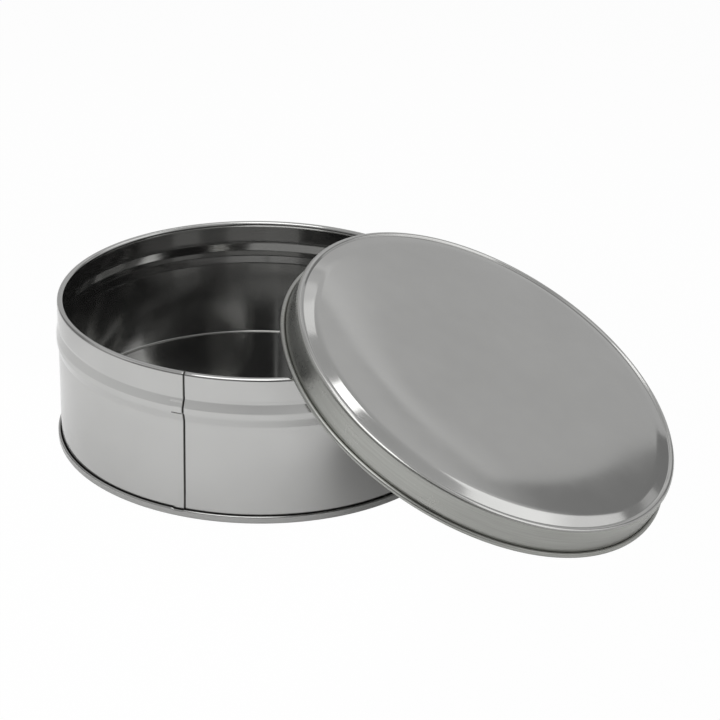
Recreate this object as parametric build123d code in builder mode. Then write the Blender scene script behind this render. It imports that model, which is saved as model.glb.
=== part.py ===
"""Round tinplate candle tin with its slip lid taken off and leaned against the rim.

The origin is the centre of the tin's base on the surface that it stands on, +Z is up
the tin's axis, and the lid leans towards +X. Sizes are millimetres.

Every pressing is drawn as the centre line of its sheet, traced to the sheet's
thickness and turned about its axis.
"""

import os
from math import cos, degrees, radians, sin

from build123d import *

# Sheet and tin
sheet = 0.3
wall_radius = 82.0
tin_height = 61.0

# Rim: the wall's top edge is rolled inwards into a hollow curl
rim_curl = 2.6
neck_radius = wall_radius + 0.2
roll_turn = 300

# Stop bead around the neck, its places given as depths below the rim
neck_end = 9.4
waist = 10.4
crest_start = 14.6
crest_end = 16.9
bead_end = 20.3
bead_height = 0.8
bead_bends = [3.0, 3.0, 3.0, 3.0, 0.5]

# Double seam that joins the bottom end to the wall: five layers, a small gap apart
seam_height = 3.1
layer_gap = 0.15
base_flat = 0.4
hook_length = 1.75
hook_trim = 0.02
panel_top = 7.2
panel_bend = 1.0

# Sealing compound in the top of the seam
compound_width = 0.2
compound_height = 0.3

# Lock seam down the wall: a folded strip inside and a fine groove outside
lock_angle = -81.0
lock_width = 5.0
lock_thickness = 2 * sheet
lock_foot = panel_top + 0.6
lock_top = tin_height - 2 * rim_curl
groove_width = 0.3
groove_depth = 0.12

# Lid: skirt with an outward curl, rounded shoulder, narrow valley, raised panel
lid_inner_radius = 82.45
lid_curl = 2.0
shoulder_corner = 13.95
shoulder_radius = 1.3
valley_radius = 80.1
valley_height = 12.6
valley_bend = 0.8
panel_edge_radius = 75.1
panel_edge_height = 14.0
panel_edge_bend = 4.0
panel_crown = 0.3

# How the lid leans: its curl stands on the surface, its panel rests over the rim
lid_tilt = 27.0
lean_gap = 0.45

# Centre lines of the seam's layers, from the inside out
layer_step = sheet + layer_gap
wall_line = wall_radius - sheet / 2
chuck_line = wall_line - layer_step
end_hook_line = wall_line + layer_step
body_hook_line = wall_line + 2 * layer_step
seam_line = wall_line + 3 * layer_step
seam_base = sheet / 2
seam_top = seam_height - sheet / 2
hook_base = seam_base + layer_step
hook_bend = layer_step - hook_trim
seam_bend = (seam_line - chuck_line - base_flat) / 2

# The rim's curl and the lid's, by the radius of the sheet's centre line
rim_roll = (rim_curl - sheet) / 2
rim_roll_centre = (neck_radius - rim_curl / 2, tin_height - rim_curl / 2)
lid_roll = (lid_curl - sheet) / 2
lid_roll_centre = (lid_inner_radius + lid_curl / 2, lid_curl / 2)


def wall_points(inset, foot, top):
    """The wall's centre line from foot to top, over the bead, moved inwards by inset."""
    wall = wall_line - inset
    neck = neck_radius - sheet / 2 - inset
    return [
        (wall, foot),
        (wall, tin_height - bead_end),
        (wall + bead_height, tin_height - crest_end),
        (wall + bead_height, tin_height - crest_start),
        (wall, tin_height - waist),
        (neck, tin_height - neck_end),
        (neck, top),
    ]


def half_plane(angle):
    """The plane through the tin's axis at this angle round it."""
    return Plane.XZ.rotated((0, 0, angle))


# Body wall: one rolled sheet with its rim curl, stop bead, body hook and lock seam
with BuildPart() as body_wall:
    with BuildSketch(Plane.XZ):
        with BuildLine():
            hook = [
                (body_hook_line, hook_base + hook_length),
                (body_hook_line, hook_base),
            ]
            wall = wall_points(0, hook_base, rim_roll_centre[1])
            FilletPolyline(*hook, *wall, radius=[hook_bend, hook_bend, *bead_bends])
            CenterArc(rim_roll_centre, rim_roll, 0, roll_turn)
        trace(line_width=sheet)
    revolve(axis=Axis.Z)

    lock_arc = degrees(lock_width / wall_radius)
    with BuildSketch(half_plane(lock_angle - lock_arc)):
        with BuildLine():
            inset = (sheet + lock_thickness) / 2
            FilletPolyline(*wall_points(inset, lock_foot, lock_top), radius=bead_bends)
        trace(line_width=lock_thickness)
    revolve(axis=Axis.Z, revolution_arc=-lock_arc)

    with BuildSketch(half_plane(lock_angle)):
        with BuildLine():
            groove = wall_points(-sheet / 2, seam_height, rim_roll_centre[1])
            FilletPolyline(*groove, radius=bead_bends)
        trace(line_width=2 * groove_depth)
    revolve(axis=Axis.Z, revolution_arc=degrees(groove_width / wall_radius), mode=Mode.SUBTRACT)
body_wall.part.label = "body_wall"

# Bottom end: a pressed disc, recessed inside the wall and hooked round its foot
with BuildPart() as bottom_end:
    with BuildSketch(Plane.XZ):
        with BuildLine():
            FilletPolyline(
                (0, panel_top - sheet / 2),
                (chuck_line, panel_top - sheet / 2),
                (chuck_line, seam_base),
                (seam_line, seam_base),
                (seam_line, seam_top),
                (end_hook_line, seam_top),
                (end_hook_line, seam_top - hook_length),
                radius=[panel_bend, seam_bend, seam_bend, hook_bend, hook_bend],
            )
        trace(line_width=sheet)
    revolve(axis=Axis.Z)
bottom_end.part.label = "bottom_end"

# Seam compound: a ring between the tip of the body hook and the fold above it
compound_base = hook_base + hook_length + layer_gap / 2
with BuildPart() as seam_compound:
    with BuildSketch(Plane.XZ):
        with Locations((body_hook_line, compound_base + compound_height / 2)):
            Rectangle(compound_width, compound_height)
    revolve(axis=Axis.Z)
seam_compound.part.label = "seam_compound"

# The lid's plane: its curl's lowest point at the surface, its panel clear of the rim
tilt = radians(lid_tilt)
lid_rise = lid_roll_centre[0] * sin(tilt) + lid_curl / 2 * (1 - cos(tilt))
rim_reach = panel_edge_height - sheet - lean_gap - rim_curl / 2
rim_drop = (rim_roll_centre[1] - lid_rise) * cos(tilt)
lid_centre = (rim_roll_centre[0] + (rim_drop - rim_reach) / sin(tilt), 0, lid_rise)
lid_axis = Axis(lid_centre, (sin(tilt), 0, cos(tilt)))
lid_plane = Plane(lid_centre, x_dir=(cos(tilt), 0, -sin(tilt)), z_dir=(0, -1, 0))

# Lid: one pressed sheet, from the crowned panel out to the curl under its skirt
with BuildPart() as lid:
    with BuildSketch(lid_plane):
        with BuildLine():
            crown = (0, panel_edge_height + panel_crown - sheet / 2)
            panel_edge = (panel_edge_radius - panel_edge_bend / 2, panel_edge_height - sheet / 2)
            skirt_line = lid_inner_radius + sheet / 2
            TangentArc(crown, panel_edge, tangent=(1, 0))
            FilletPolyline(
                panel_edge,
                (panel_edge_radius, panel_edge_height - sheet / 2),
                (valley_radius, valley_height - sheet / 2),
                (skirt_line, shoulder_corner),
                (skirt_line, lid_roll_centre[1]),
                radius=[panel_edge_bend, valley_bend, shoulder_radius],
            )
            CenterArc(lid_roll_centre, lid_roll, 180, roll_turn)
        trace(line_width=sheet)
    revolve(axis=lid_axis)
lid.part.label = "lid"

os.makedirs("parts", exist_ok=True)
for piece in (body_wall, bottom_end, seam_compound, lid):
    export_step(piece.part, f"parts/{piece.part.label}.step")
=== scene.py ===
"""Looks of the round tinplate candle tin and its leaning slip lid.

Each pressing is rebuilt around the CAD frame as one thin sheet. Its section is a line of
straight runs and bends, thickened to both sides and turned about its axis, and press
functions push the lock seam and the small dents of hand-run tooling into it. Sizes are
millimetres and turn into metres where a mesh is written.
"""

from math import cos, degrees, radians, sin, tan

import bpy
import numpy as np
from mathutils import Matrix, Vector


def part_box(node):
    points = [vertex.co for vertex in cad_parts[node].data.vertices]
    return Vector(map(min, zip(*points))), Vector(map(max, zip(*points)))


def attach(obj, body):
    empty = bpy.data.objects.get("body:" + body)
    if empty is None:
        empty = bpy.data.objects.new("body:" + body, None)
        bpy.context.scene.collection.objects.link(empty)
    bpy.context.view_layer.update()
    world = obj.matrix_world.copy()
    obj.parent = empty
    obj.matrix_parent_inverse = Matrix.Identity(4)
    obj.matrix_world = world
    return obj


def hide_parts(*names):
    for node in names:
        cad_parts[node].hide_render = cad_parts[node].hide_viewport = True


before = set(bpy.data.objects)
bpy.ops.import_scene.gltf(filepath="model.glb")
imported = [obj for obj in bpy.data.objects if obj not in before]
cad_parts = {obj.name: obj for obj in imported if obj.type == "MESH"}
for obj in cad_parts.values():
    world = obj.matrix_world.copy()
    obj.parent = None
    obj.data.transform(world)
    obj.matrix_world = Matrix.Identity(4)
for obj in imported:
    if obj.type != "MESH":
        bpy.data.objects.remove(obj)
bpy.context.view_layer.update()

MM = 0.001

# Sheet, tin and lid, as the CAD part has them
SHEET = 0.3
LAYER_GAP = 0.15
NECK_OUT = 0.2
RIM_CURL = 2.6
ROLL_TURN = 300
SEAM_HEIGHT = 3.1
HOOK_LENGTH = 1.75
HOOK_BEND = 0.43
BASE_FLAT = 0.4
PANEL_TOP = 7.2
PANEL_BEND = 1.0
LOCK_ANGLE = radians(-81.0)
LOCK_WIDTH = 5.0
LOCK_THICKNESS = 0.6
LID_TILT = radians(27.0)
LID_CURL = 2.0

# The stop bead: how far it stands out, the bends of its line, and its corners' depths
# below the rim, with a short straight run before and after it
BEAD_OUT = 0.8
BEAD_BENDS = [3.0, 3.0, 3.0, 3.0, 0.5]
NECK_END = 9.4
WAIST = 10.4
CREST_START = 14.6
CREST_END = 16.9
BEAD_END = 20.3
RUN_ABOVE = 1.0
RUN_BELOW = 1.7

# What the frame says: the tin's height and foot, and where the lid stands
tin_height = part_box("body_wall")[1].z / MM
seam_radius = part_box("bottom_end")[1].x / MM
lid_low, lid_high = (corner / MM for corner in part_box("lid"))
layer_step = SHEET + LAYER_GAP
wall_radius = seam_radius - 3 * layer_step
lid_roll_radius = lid_high.y - LID_CURL / 2
lid_inner_radius = lid_roll_radius - LID_CURL / 2
lid_x = lid_low.x + lid_roll_radius * cos(LID_TILT) + LID_CURL / 2 * (1 - sin(LID_TILT))
lid_z = lid_low.z + lid_roll_radius * sin(LID_TILT) + LID_CURL / 2 * (1 - cos(LID_TILT))
lid_place = Matrix.Translation(Vector((lid_x, 0, lid_z)) * MM) @ Matrix.Rotation(LID_TILT, 4, "Y")


# Section lines: points and unit headings, by radius and height


def arc(centre, radius, start, turn, step=12):
    """An arc from the angle start through turn, in degrees."""
    count = max(3, round(abs(turn) / step) + 1)
    angles = np.radians(np.linspace(start, start + turn, count))
    spokes = np.column_stack((np.cos(angles), np.sin(angles)))
    headings = np.sign(turn) * np.column_stack((-spokes[:, 1], spokes[:, 0]))
    return np.array(centre) + radius * spokes, headings


def bent_line(corners, bends, run=6.0, step=8):
    """Straight runs joined by tangent arcs of the given radii."""
    corners = np.array(corners, float)
    ways = np.diff(corners, axis=0)
    ways /= np.linalg.norm(ways, axis=1)[:, None]
    angles = np.degrees(np.arctan2(ways[:, 1], ways[:, 0]))
    turns = (np.diff(angles) + 180) % 360 - 180
    cuts = [0, *(radius * tan(radians(abs(turn)) / 2) for radius, turn in zip(bends, turns)), 0]
    lines = []
    for i, way in enumerate(ways):
        start, end = corners[i] + way * cuts[i], corners[i + 1] - way * cuts[i + 1]
        count = max(2, round(np.linalg.norm(end - start) / run) + 1)
        lines.append((np.linspace(start, end, count), np.tile(way, (count, 1))))
        if i < len(bends):
            side = np.sign(turns[i])
            centre = end + side * bends[i] * np.array((-way[1], way[0]))
            lines.append(arc(centre, bends[i], angles[i] - side * 90, turns[i], step))
    return joined(*lines)


def joined(*lines):
    """Lines that follow each other as one, without their shared points."""
    points = np.vstack([line[0] for line in lines])
    headings = np.vstack([line[1] for line in lines])
    apart = np.linalg.norm(np.diff(points, axis=0), axis=1) > 1e-4
    keep = np.concatenate(([True], apart))
    return points[keep], headings[keep]


# Turned sheets


def thickened(line, outside):
    """The loop round a sheet: points, headings, and 1 on its outer face or -1 on its inner."""
    points, headings = line
    across = outside * np.column_stack((headings[:, 1], -headings[:, 0]))
    spots, ways, faces = [points + across * SHEET / 2], [headings], [np.ones(len(points))]

    def nose(i, angles):
        for angle in np.radians(angles):
            spots.append([points[i] + SHEET / 2 * (cos(angle) * across[i] + sin(angle) * headings[i])])
            ways.append([cos(angle) * headings[i] - sin(angle) * across[i]])
            faces.append([0])

    nose(-1, (45, 90, 135))
    spots.append((points - across * SHEET / 2)[::-1])
    ways.append(-headings[::-1])
    faces.append(-np.ones(len(points)))
    if points[0, 0] > SHEET:
        nose(0, (225, 270, 315))
    return np.vstack(spots), np.vstack(ways), np.concatenate(faces)


def turned_sheet(name, line, angles, press, outside=1, place=Matrix.Identity(4)):
    """A thin sheet turned about Z. press(face, angle, radius, height) gives how far a point of
    the sheet moves out and up, how much painted shade darkens it, and how brushed it is there."""
    spots, ways, faces = thickened(line, outside)
    face, turn, step = faces[:, None], angles[None, :], 1e-4

    def surface(turn, spots):
        radius, height = spots[:, :1], spots[:, 1:]
        out, up = press(face, turn, radius, height)[:2]
        radius = np.maximum(radius + out, step)
        return np.stack((radius * np.cos(turn), radius * np.sin(turn), height + up + 0 * turn), -1)

    grid = surface(turn, spots)
    marks = press(face, turn, spots[:, :1], spots[:, 1:])[2:]
    around = surface(turn + step, spots) - surface(turn - step, spots)
    along = surface(turn, spots + step * ways) - surface(turn, spots - step * ways)
    normals = outside * np.cross(around, along)
    normals /= np.linalg.norm(normals, axis=-1, keepdims=True)
    from_axis = spots[0, 0] < SHEET
    rows, columns = len(spots), len(angles)
    index = np.arange(rows * columns).reshape(rows, columns)
    index = index[1:-1] if from_axis else np.vstack((index, index[:1]))
    low, high = index[:-1], index[1:]
    quads = np.stack((low, np.roll(low, -1, 1), np.roll(high, -1, 1), high), -1).reshape(-1, 4)
    polygons = quads[:, ::outside].tolist()
    points, shading = grid.reshape(-1, 3), normals.reshape(-1, 3)
    if from_axis:
        for row, pole in ((index[0], 0), (index[-1], (rows - 1) * columns)):
            points[pole, :2] = 0
            shading[pole] = (0, 0, np.sign(shading[pole, 2]))
            way = outside if pole == 0 else -outside
            fans = np.stack((np.full(columns, pole), np.roll(row, -1), row), -1)
            polygons += fans[:, ::way].tolist()
    if from_axis:
        used = np.concatenate(([0], index.ravel(), [(rows - 1) * columns]))
    else:
        used = index[:-1].ravel()
    renumber = np.zeros(len(points), int)
    renumber[used] = np.arange(len(used))
    polygons = [renumber[polygon].tolist() for polygon in polygons]
    turn, shift = np.array(place.to_3x3()), np.array(place.translation)
    mesh = bpy.data.meshes.new(name)
    mesh.from_pydata((points[used] * MM @ turn.T + shift).tolist(), [], polygons)
    mesh.shade_smooth()
    mesh.normals_split_custom_set_from_vertices((shading[used] @ turn.T).tolist())
    for mark, values in zip(("painted_shade", "brushing_and_shade"), marks):
        values = np.broadcast_to(values, (rows, columns)).ravel()[used]
        mesh.attributes.new(mark, "FLOAT", "POINT").data.foreach_set("value", values)
    piece = bpy.data.objects.new(name, mesh)
    bpy.context.scene.collection.objects.link(piece)
    return piece


def ramp(value, start, end):
    """0 up to start, 1 from end on, smooth between."""
    share = np.clip((value - start) / (end - start), 0, 1)
    return share * share * (3 - 2 * share)


def window(value, start, end, soft):
    """1 between start and end, 0 outside, smooth over soft at either end."""
    half = soft / 2
    return ramp(value, start - half, start + half) * (1 - ramp(value, end - half, end + half))


def from_lock(angle):
    """Arc length round the wall from the lock seam's line, in millimetres."""
    return wall_radius * ((angle - LOCK_ANGLE + np.pi) % (2 * np.pi) - np.pi)


def waves(angle, height, size):
    """Slow hand-made unevenness of a round wall, at most about size."""
    return size * (
        0.40 * np.sin(3 * angle + 0.7 + 0.020 * height)
        + 0.30 * np.sin(7 * angle + 2.1 - 0.050 * height)
        + 0.20 * np.sin(11 * angle + 4.0 + 0.090 * height)
        + 0.10 * np.sin(19 * angle + 1.3 - 0.130 * height)
    )


def seam_dip(across):
    """How far the seam's top sinks over the lock seam."""
    return SEAM_DIP * window(across, -LOCK_WIDTH + 0.4, -0.2, 0.9)


def column_angles(count, fine=False):
    """Evenly spaced angles, with fine ones added across the lock seam."""
    even = np.linspace(-np.pi, np.pi, count, endpoint=False)
    if not fine:
        return even
    offsets = np.concatenate(
        (
            np.linspace(-7.0, -1.6, 22),
            np.linspace(-1.4, 0.8, 45),
            np.linspace(1.0, 3.0, 7),
        )
    )
    clear = np.abs(from_lock(even) + 2.0) > 5.6
    return np.sort(np.concatenate((even[clear], LOCK_ANGLE + offsets / wall_radius)))


# Body wall
rim_roll_radius = wall_radius + NECK_OUT - RIM_CURL / 2
rim_roll_height = tin_height - RIM_CURL / 2
wall_line_radius = wall_radius - SHEET / 2
hook_height = SHEET / 2 + layer_step

# The lock seam's marks: the groove's depth where the strip backs it and where it is a
# single sheet, the strip's ends, the line's sideways kink and the strip's flattening at
# the bead, and how far the bottom seam sinks under it. Last, the wall's unevenness.
GROOVE = 0.38
THIN_GROOVE = 0.2
LOCK_FOOT = 7.8
LOCK_TOP = 55.8
KINK = 0.4
STRIP_FLAT = 0.28
SEAM_DIP = 0.35
WALL_WAVE = 0.03


def wall_section():
    """Body hook, wall, stop bead, neck and rim curl, from the foot up."""
    hook = wall_line_radius + 2 * layer_step
    foot = [(hook, hook_height + HOOK_LENGTH), (hook, hook_height), (wall_line_radius, hook_height)]
    bead = [
        (wall_line_radius, tin_height - BEAD_END - RUN_BELOW),
        (wall_line_radius, tin_height - BEAD_END),
        (wall_line_radius + BEAD_OUT, tin_height - CREST_END),
        (wall_line_radius + BEAD_OUT, tin_height - CREST_START),
        (wall_line_radius, tin_height - WAIST),
        (wall_line_radius + NECK_OUT, tin_height - NECK_END),
        (wall_line_radius + NECK_OUT, tin_height - NECK_END + RUN_ABOVE),
    ]
    above_seam = (wall_line_radius, SEAM_HEIGHT + 1.0)
    hooked = bent_line([*foot, above_seam], [HOOK_BEND, HOOK_BEND], run=0.4, step=18)
    lower = joined(hooked, bent_line([above_seam, bead[0]], [], run=6.0))
    beaded = bent_line(bead, BEAD_BENDS, run=0.45, step=3)
    upper = bent_line([bead[-1], (bead[-1][0], rim_roll_height)], [], run=3.0)
    curl = arc((rim_roll_radius, rim_roll_height), (RIM_CURL - SHEET) / 2, 0, ROLL_TURN)
    return joined(lower, beaded, upper, curl)


def wall_press(face, angle, radius, height):
    """The lock seam's strip and groove, the bead's flattening over it, slow waves, and the
    painted shade in the groove and in the crevice at the wall's foot."""
    across, depth = from_lock(angle), tin_height - height
    kink = KINK * ramp(depth, 10.6, 15.2) * (1 - ramp(depth, CREST_END - 0.2, CREST_END + 0.2))
    beside = across + kink
    on_wall = ramp(height, SEAM_HEIGHT - 0.8, SEAM_HEIGHT - 0.3)
    groove = 0.75 * np.exp(-((beside / 0.4) ** 4)) + 0.25 * np.exp(-((beside / 0.65) ** 2))
    cut = np.where((depth > RIM_CURL * 2) & (height > LOCK_FOOT), GROOVE, THIN_GROOVE)
    strip = window(across, -LOCK_WIDTH, 0.1, 0.9)
    flat = STRIP_FLAT * strip * window(depth, 12.2, CREST_END + 0.05, 0.5)
    outer = -groove * cut * on_wall - flat
    inside = window(across, -LOCK_WIDTH, 0.5, 0.3) * window(height, LOCK_FOOT, LOCK_TOP, 0.4)
    inner = -LOCK_THICKNESS * inside
    slow = waves(angle, height, WALL_WAVE) * window(height, 8.0, 56.0, 8.0)
    out = np.where(face > 0, outer, np.where(face < 0, inner, 0)) + slow
    # Painted shade: the groove's line and the crevice where the wall meets the bottom seam are darkened
    # in colour, standing in for the shade in these recesses.
    painted_groove_shade = np.exp(-((beside / 0.42) ** 4)) * on_wall
    painted_crevice_shade = 1 - ramp(height + seam_dip(across), SEAM_HEIGHT + 0.2, SEAM_HEIGHT + 0.7)
    painted_shade = np.where(face > 0, np.maximum(painted_groove_shade, painted_crevice_shade), 0)
    return out, 0 * out, painted_shade, 0 * out


wall = turned_sheet("body_wall_shell", wall_section(), column_angles(360, fine=True), wall_press)
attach(wall, "tin")
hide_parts("body_wall")


# Bottom end: the painted shade on the seam's outer layer and under its foot, and how uneven
# the panel is
SEAM_PAINTED_SHADE = 0.17
FOOT_PAINTED_SHADE = 0.6
PANEL_SAG = 0.03


def bottom_section():
    """Recessed panel, chuck wall, and the bottom seam's outer layers down to the end hook."""
    panel = PANEL_TOP - SHEET / 2
    chuck = wall_line_radius - layer_step
    seam = wall_line_radius + 3 * layer_step
    end_hook = wall_line_radius + layer_step
    top = SEAM_HEIGHT - SHEET / 2
    seam_bend = (seam - chuck - BASE_FLAT) / 2
    corners = [(0, panel), (chuck, panel), (chuck, SHEET / 2), (seam, SHEET / 2)]
    corners += [(seam, top), (end_hook, top), (end_hook, top - HOOK_LENGTH)]
    bends = [PANEL_BEND, seam_bend, seam_bend, HOOK_BEND, HOOK_BEND]
    return bent_line(corners, bends, run=6.0, step=12)


def bottom_press(face, angle, radius, height):
    """The seam's top sinks over the lock seam, the panel is a little uneven, and painted shade
    darkens the crevice between the seam's layers, its outer layer and its foot."""
    on_seam = ramp(radius, wall_radius - 0.1, wall_radius + 0.2) * ramp(height, 0.9, 2.6)
    x, y = radius * np.cos(angle), radius * np.sin(angle)
    sag = PANEL_SAG * (np.sin(x / 17 + 1.0) * np.sin(y / 21 + 0.4) + 0.5 * np.sin((x + y) / 11))
    on_panel = ramp(height, 6.0, 6.7) * (1 - ramp(radius, 66.0, 78.0))
    up = -seam_dip(from_lock(angle)) * on_seam + sag * on_panel
    # Painted shade: the crevice between the seam's inner layers and the wall, an even share over the
    # seam's outer layer, and more at its foot by the table.
    inner_layers = 1 - ramp(radius, wall_radius + 0.35, wall_radius + 0.6)
    painted_shade = inner_layers * ramp(radius, wall_radius - 0.1, wall_radius)
    on_outer_layer = ramp(radius, wall_radius + 0.8, wall_radius + 1.1)
    painted_shade = painted_shade + on_outer_layer * (SEAM_PAINTED_SHADE + FOOT_PAINTED_SHADE * (1 - ramp(height, 0.1, 0.6)))
    return 0 * up, up, painted_shade + 0 * up, 0 * up


bottom = turned_sheet("bottom_end_shell", bottom_section(), column_angles(360, fine=True), bottom_press)
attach(bottom, "tin")
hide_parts("bottom_end")


# Lid: radii and heights of its section's corners, the radii of its bends, and how uneven
# its panel and skirt are
FLAT_REACH = 45.0
EDGE_SLOPE = radians(3.5)
PANEL_REACH = 75.1
PANEL_HEIGHT = 13.85
VALLEY_REACH = 80.1
VALLEY_HEIGHT = 12.5
SHOULDER_CORNER = 13.95
FALL_SHARE = 0.93
STEP_BEND = 16.0
VALLEY_BEND = 0.8
SHOULDER_BEND = 1.3
LID_SAG = 0.025
SKIRT_WAVE = 0.02


def lid_section():
    """A flat middle, a slow fall towards the panel's edge, a step down, shoulder and skirt.
    The fall stops short of the step, which leaves room for the bend between them."""
    panel, valley = PANEL_HEIGHT - SHEET / 2, VALLEY_HEIGHT - SHEET / 2
    skirt = lid_inner_radius + SHEET / 2
    fall_radius = (PANEL_REACH - FLAT_REACH) / sin(EDGE_SLOPE)
    middle = panel + fall_radius * (1 - cos(EDGE_SLOPE))
    flat = bent_line([(0, middle), (FLAT_REACH, middle)], [], run=4.0)
    before_step = FALL_SHARE * degrees(EDGE_SLOPE)
    fall = arc((FLAT_REACH, middle - fall_radius), fall_radius, 90, -before_step, step=0.3)
    corners = [tuple(fall[0][-1]), (PANEL_REACH, panel), (VALLEY_REACH, valley)]
    corners += [(skirt, SHOULDER_CORNER), (skirt, LID_CURL / 2)]
    pressed = bent_line(corners, [STEP_BEND, VALLEY_BEND, SHOULDER_BEND], run=2.5, step=3)
    curl = arc((lid_roll_radius, LID_CURL / 2), (LID_CURL - SHEET) / 2, 180, ROLL_TURN)
    return joined(flat, fall, pressed, curl)


def lid_press(face, angle, radius, height):
    """A slightly uneven panel and a brushed skirt, whose darker tint is painted shade."""
    x, y = radius * np.cos(angle), radius * np.sin(angle)
    sag = LID_SAG * (np.sin(x / 19 + 0.5) * np.sin(y / 23 + 1.4) + 0.5 * np.sin((x - y) / 13))
    up = sag * ramp(height, 12.0, 13.5) * (1 - ramp(radius, 62.0, 74.0))
    out = waves(angle, 3 * height, SKIRT_WAVE) * window(height, 3.0, 11.5, 2.0)
    # The brushed skirt's mask, which also darkens its colour as painted shade.
    brushing_and_shade = (1 - ramp(height, 12.4, 13.6)) * ramp(radius, 82.0, 82.5)
    return out, up, 0 * up, brushing_and_shade + 0 * up


lid = turned_sheet("lid_shell", lid_section(), column_angles(360), lid_press, -1, lid_place)
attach(lid, "lid")
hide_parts("lid")


# Materials. Painted shade and brushing each have their tints and the roughness that they add, and the
# brushing's darker tint is painted shade too.
# Clouds and rings have their noise's size in millimetres, and clouds darken the metal by
# CLOUD_SHADE. HAZE is the share of the surface that is dull film and not bare metal.
# The tint that painted shade blends in, standing in for shade in creases and at the seam's foot, and
# the roughness it adds.
PAINTED_SHADE_COLOUR = (0.035, 0.034, 0.032)
PAINTED_SHADE_ROUGH = 0.4
# The brushed skirt's ring tints, darker than the bare metal: the ring pattern is grain, and the lower
# level is painted shade.
SHADED_RING_DARK = (0.33, 0.333, 0.313)
SHADED_RING_LIGHT = (0.405, 0.408, 0.388)
BRUSHED_ROUGH = 0.2
RING_SIZE = (22, 22, 0.22)
CLOUD_SIZE = (26, 26, 26)
CLOUD_SHADE = 0.94
HAZE = 0.02


def node(tree, kind, **values):
    """A node of that kind. Names with capitals set its inputs and the others its properties."""
    made = tree.nodes.new(kind)
    for name, value in values.items():
        if name[0].isupper():
            made.inputs[name.replace("_", " ")].default_value = value
        else:
            setattr(made, name, value)
    return made


def streaks(tree, size, axes, detail=4.0):
    """Noise whose grains have this size, in millimetres, along each of the given axes."""
    place = node(tree, "ShaderNodeTexCoord")
    stretch = node(tree, "ShaderNodeMapping", vector_type="TEXTURE")
    stretch.inputs["Location"].default_value = axes.translation
    stretch.inputs["Rotation"].default_value = axes.to_euler()
    stretch.inputs["Scale"].default_value = Vector(size) * MM
    noise = node(tree, "ShaderNodeTexNoise", Scale=1.0, Detail=detail, Roughness=0.6)
    tree.links.new(place.outputs["Object"], stretch.inputs["Vector"])
    tree.links.new(stretch.outputs["Vector"], noise.inputs["Vector"])
    return noise.outputs["Fac"]


def ranged(tree, value, low, high):
    """The noise value spread from low to high."""
    spread = node(tree, "ShaderNodeMapRange")
    spread.inputs["From Min"].default_value = 0.3
    spread.inputs["From Max"].default_value = 0.7
    spread.inputs["To Min"].default_value = low
    spread.inputs["To Max"].default_value = high
    tree.links.new(value, spread.inputs["Value"])
    return spread.outputs["Result"]


def painted_mark(tree, name):
    """The strength of a mark that the mesh carries."""
    return node(tree, "ShaderNodeAttribute", attribute_name=name).outputs["Fac"]


def blended(tree, share, first, second):
    """A colour between two others."""
    mix = node(tree, "ShaderNodeMix", data_type="RGBA")
    for socket, value in (("Factor", share), ("A", first), ("B", second)):
        if isinstance(value, tuple):
            mix.inputs[socket].default_value = (*value, 1)
        else:
            tree.links.new(value, mix.inputs[socket])
    return mix.outputs["Result"]


def summed(tree, first, second, operation="ADD"):
    """The sum of two values, or what another operation makes of them."""
    total = node(tree, "ShaderNodeMath", operation=operation)
    for socket, value in zip(total.inputs, (first, second)):
        if isinstance(value, float):
            socket.default_value = value
        else:
            tree.links.new(value, socket)
    return total.outputs["Value"]


def tinplate(name, colour, rough, grain, depth, axes=Matrix.Identity(4), smudge=0.03):
    """Rolled tinplate: a metal with fine rolling lines, soft smudges and a faint tint drift.
    Painted shade darkens it and dulls it, and brushing gives it fine lines round its axis and a darker
    tint, which is painted shade."""
    material = bpy.data.materials.new(name)
    material.use_nodes = True
    tree = material.node_tree
    shader = tree.nodes["Principled BSDF"]
    shader.inputs["Metallic"].default_value = 1.0 - HAZE
    lines = streaks(tree, grain, axes)
    clouds = streaks(tree, CLOUD_SIZE, axes, 3.0)
    rings = streaks(tree, RING_SIZE, axes, 2.0)
    painted_shade, brushing_and_shade = painted_mark(tree, "painted_shade"), painted_mark(tree, "brushing_and_shade")
    shaded = tuple(CLOUD_SHADE * part for part in colour)
    plain = blended(tree, ranged(tree, clouds, 0.2, 1.0), shaded, colour)
    # Painted shade: the brushed skirt's rings are a darker copy of the metal.
    shaded_rings = blended(tree, ranged(tree, rings, 0.0, 1.0), SHADED_RING_DARK, SHADED_RING_LIGHT)
    metal = blended(tree, brushing_and_shade, plain, shaded_rings)
    # Painted shade: the metal's colour is blended towards the dark tint wherever the mesh carries
    # painted shade.
    tree.links.new(blended(tree, painted_shade, metal, PAINTED_SHADE_COLOUR), shader.inputs["Base Color"])
    dulled = summed(tree, painted_shade, PAINTED_SHADE_ROUGH, "MULTIPLY")
    brushed = summed(tree, brushing_and_shade, BRUSHED_ROUGH, "MULTIPLY")
    lined = ranged(tree, lines, rough - 0.02, rough + 0.02)
    gloss = summed(tree, lined, ranged(tree, clouds, -smudge, smudge))
    roughness = summed(tree, gloss, summed(tree, dulled, brushed))
    tree.links.new(roughness, shader.inputs["Roughness"])
    bump = node(tree, "ShaderNodeBump", Strength=1.0, Distance=depth)
    tree.links.new(lines, bump.inputs["Height"])
    tree.links.new(bump.outputs["Normal"], shader.inputs["Normal"])
    return material


def paint(piece, material):
    """Give the piece this one material."""
    piece.data.materials.clear()
    piece.data.materials.append(material)


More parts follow.
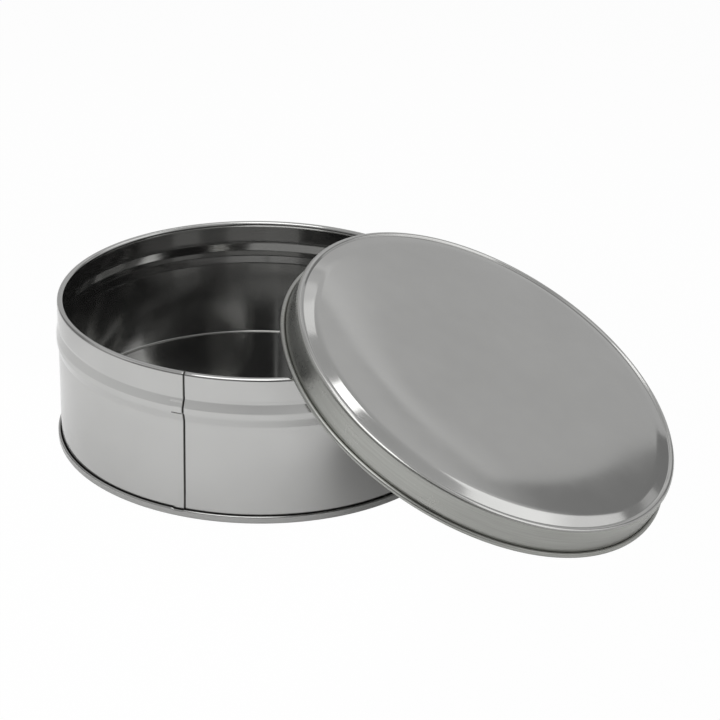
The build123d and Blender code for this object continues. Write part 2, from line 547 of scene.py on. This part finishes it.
# Colour, roughness, size of the rolling lines in millimetres, and their depth in metres
LINE_DEPTH = 2e-7
paint(wall, tinplate("wall_tinplate", (0.5, 0.5, 0.492), 0.1, (16, 16, 0.4), LINE_DEPTH))
paint(bottom, tinplate("bottom_tinplate", (0.48, 0.48, 0.472), 0.1, (0.4, 16, 16), LINE_DEPTH))
lid_lines = (16, 0.4, 1.2)
paint(lid, tinplate("lid_tinplate", (0.5, 0.5, 0.49), 0.09, lid_lines, LINE_DEPTH, lid_place, 0.02))


def compound_material():
    """Matt grey sealing compound with a fine mottle."""
    material = bpy.data.materials.new("sealing_compound")
    material.use_nodes = True
    tree = material.node_tree
    shader = tree.nodes["Principled BSDF"]
    shader.inputs["Roughness"].default_value = 0.8
    mottle = streaks(tree, (1.1, 1.1, 1.1), Matrix.Identity(4))
    tint = blended(tree, ranged(tree, mottle, 0.0, 1.0), (0.07, 0.065, 0.06), (0.12, 0.11, 0.1))
    tree.links.new(tint, shader.inputs["Base Color"])
    return material


paint(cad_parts["seam_compound"], compound_material())


# Camera: a long lens, looking down at about 25 degrees
CAMERA_SPOT = Vector((381.6, -682.0, 393.9))
CAMERA_AZIMUTH = radians(26.19)
CAMERA_PITCH = radians(24.865)
CAMERA_ROLL = radians(1.789)
LENS = 104.08
SENSOR = 36.0


def add_camera():
    """The scene's camera, at its spot in millimetres."""
    made = bpy.data.cameras.new("camera")
    made.lens, made.sensor_width = LENS, SENSOR
    made.clip_start, made.clip_end = 0.01, 100
    camera = bpy.data.objects.new("camera", made)
    bpy.context.scene.collection.objects.link(camera)
    turn = Matrix.Rotation(CAMERA_AZIMUTH, 4, "Z") @ Matrix.Rotation(radians(90) - CAMERA_PITCH, 4, "X")
    camera.matrix_world = (
        Matrix.Translation(CAMERA_SPOT * MM) @ turn @ Matrix.Rotation(CAMERA_ROLL, 4, "Z")
    )
    bpy.context.scene.camera = camera


add_camera()


# Floor, studio dome and softboxes


def mix_steps(tree, value, stops):
    """A smooth grey ramp through (position, level) stops."""
    ramp_node = node(tree, "ShaderNodeValToRGB")
    ramp_node.color_ramp.interpolation = "EASE"
    points = ramp_node.color_ramp.elements
    while len(points) < len(stops):
        points.new(0.5)
    for point, (position, level) in zip(points, stops):
        point.position = position
        point.color = (level, level, level, 1)
    tree.links.new(value, ramp_node.inputs["Fac"])
    return ramp_node.outputs["Color"]


# Half the table's width, and how far its top lies under the tin's foot, in metres
TABLE_REACH = 40.0
TABLE_DROP = 0.0001


def add_floor(name, glow, shade, pool):
    """A wide pale table top. Its glow and shade follow a painted pool of light, which is given as
    (distance from its middle in metres, level) stops."""
    corners = [(x * TABLE_REACH, y * TABLE_REACH, 0) for x, y in ((-1, -1), (1, -1), (1, 1), (-1, 1))]
    mesh = bpy.data.meshes.new(name)
    mesh.from_pydata(corners, [], [(0, 1, 2, 3)])
    floor = bpy.data.objects.new(name, mesh)
    bpy.context.scene.collection.objects.link(floor)
    material = bpy.data.materials.new(name)
    material.use_nodes = True
    tree = material.node_tree
    shader = tree.nodes["Principled BSDF"]
    shader.inputs["Roughness"].default_value = 1.0
    shader.inputs["Specular IOR Level"].default_value = 0.0
    shader.inputs["Emission Strength"].default_value = glow
    place = node(tree, "ShaderNodeTexCoord")
    length = node(tree, "ShaderNodeVectorMath", operation="LENGTH")
    tree.links.new(place.outputs["Object"], length.inputs[0])
    level = mix_steps(tree, length.outputs["Value"], pool)
    tree.links.new(level, shader.inputs["Emission Color"])
    dim = node(tree, "ShaderNodeVectorMath", operation="SCALE")
    dim.inputs["Scale"].default_value = shade
    tree.links.new(level, dim.inputs[0])
    tree.links.new(dim.outputs["Vector"], shader.inputs["Base Color"])
    paint(floor, material)
    return floor


# The camera sees an even table, and the metal reflects one that glows with a painted pool of
# light in front of the tin and dims away from it
table = add_floor("table", 0.96, 0.08, [(0.0, 1.0), (1.0, 1.0)])
table.visible_glossy = False
table.visible_diffuse = False
table.visible_shadow = False
painted_light_pool = [(0.12, 1.0), (0.18, 0.86), (0.35, 0.76), (1.0, 0.45)]
# Painted light: this table glows brightest in a pool in front of the tin, and only the metal's
# reflections see it.
bounce = add_floor("table_in_reflections", 0.18, 1.0, painted_light_pool)
bounce.visible_camera = False
bounce.location = Vector((-30, -130, 0)) * MM
for top in (table, bounce):
    top.location.z = -TABLE_DROP


# The dome's level by the sine of the elevation, and the share of it that is left by the
# cosine of the angle from the dark patch's middle
DOME_RISE = [(0.0, 0.26), (0.55, 0.3), (0.64, 0.7), (0.83, 0.56), (0.9, 0.52), (0.97, 0.9), (1.0, 1.0)]
PATCH_MIDDLE = (0.491, -0.786, 0.375)
PATCH_FADE = [(0.951, 1.0), (0.978, 0.05)]


def add_dome():
    """The dim room round the table: lighter from a third of the way up, with one dark patch
    low in front."""
    world = bpy.data.worlds.new("studio")
    bpy.context.scene.world = world
    world.use_nodes = True
    tree = world.node_tree
    way = node(tree, "ShaderNodeTexCoord").outputs["Generated"]
    split = node(tree, "ShaderNodeSeparateXYZ")
    tree.links.new(way, split.inputs["Vector"])
    patch = node(tree, "ShaderNodeVectorMath", operation="DOT_PRODUCT")
    patch.inputs[1].default_value = PATCH_MIDDLE
    tree.links.new(way, patch.inputs[0])
    both = node(tree, "ShaderNodeVectorMath", operation="MULTIPLY")
    tree.links.new(mix_steps(tree, split.outputs["Z"], DOME_RISE), both.inputs[0])
    tree.links.new(mix_steps(tree, patch.outputs["Value"], PATCH_FADE), both.inputs[1])
    tree.links.new(both.outputs["Vector"], tree.nodes["Background"].inputs["Color"])


add_dome()

# Softboxes, by azimuth and elevation in degrees and by what they add to the dome's level
LIGHT_DISTANCE = 20.0


def add_softbox(name, azimuths, elevations, level):
    """A softbox facing the object, filling that range of azimuths and elevations in degrees.
    level is how bright its face is, with white paper as 1."""
    azimuth, elevation = radians(sum(azimuths) / 2), radians(sum(elevations) / 2)
    spin = Matrix.Rotation(azimuth, 3, "Z") @ Matrix.Rotation(-elevation, 3, "Y")
    reach = [radians(high - low) / 2 for low, high in (azimuths, elevations)]
    light = bpy.data.lights.new(name, "AREA")
    light.shape = "RECTANGLE"
    light.size = 2 * LIGHT_DISTANCE * tan(reach[0]) * cos(elevation)
    light.size_y = 2 * LIGHT_DISTANCE * tan(reach[1])
    light.energy = level * np.pi * light.size * light.size_y
    box = bpy.data.objects.new(name, light)
    bpy.context.scene.collection.objects.link(box)
    box.location = spin @ Vector((LIGHT_DISTANCE, 0, 0))
    box.rotation_euler = box.location.to_track_quat("Z", "Y").to_euler()
    box.visible_camera = False


add_softbox("backdrop", (75, 112), (0, 38), 0.34)
add_softbox("backdrop_left", (112, 158), (0, 37), 0.3)
add_softbox("left_window", (190, 224), (8, 45), 0.28)
add_softbox("front_slit", (-71.5, -70), (12, 40), 0.4)
add_softbox("side_sill", (-36, 62), (0, 28), 0.36)
add_softbox("side_box", (4, 58), (26, 52), 0.8)
add_softbox("back_strip", (70, 82), (57, 68), 2.2)
add_softbox("back_window", (97, 106), (42, 55), 0.3)
add_softbox("back_pane", (97, 103), (46, 55), 0.3)
add_softbox("overhead", (30, 130), (72, 98), 0.8)
add_softbox("front_box", (-115, -45), (50, 78), 2.2)

bpy.context.scene.view_settings.view_transform = "Standard"
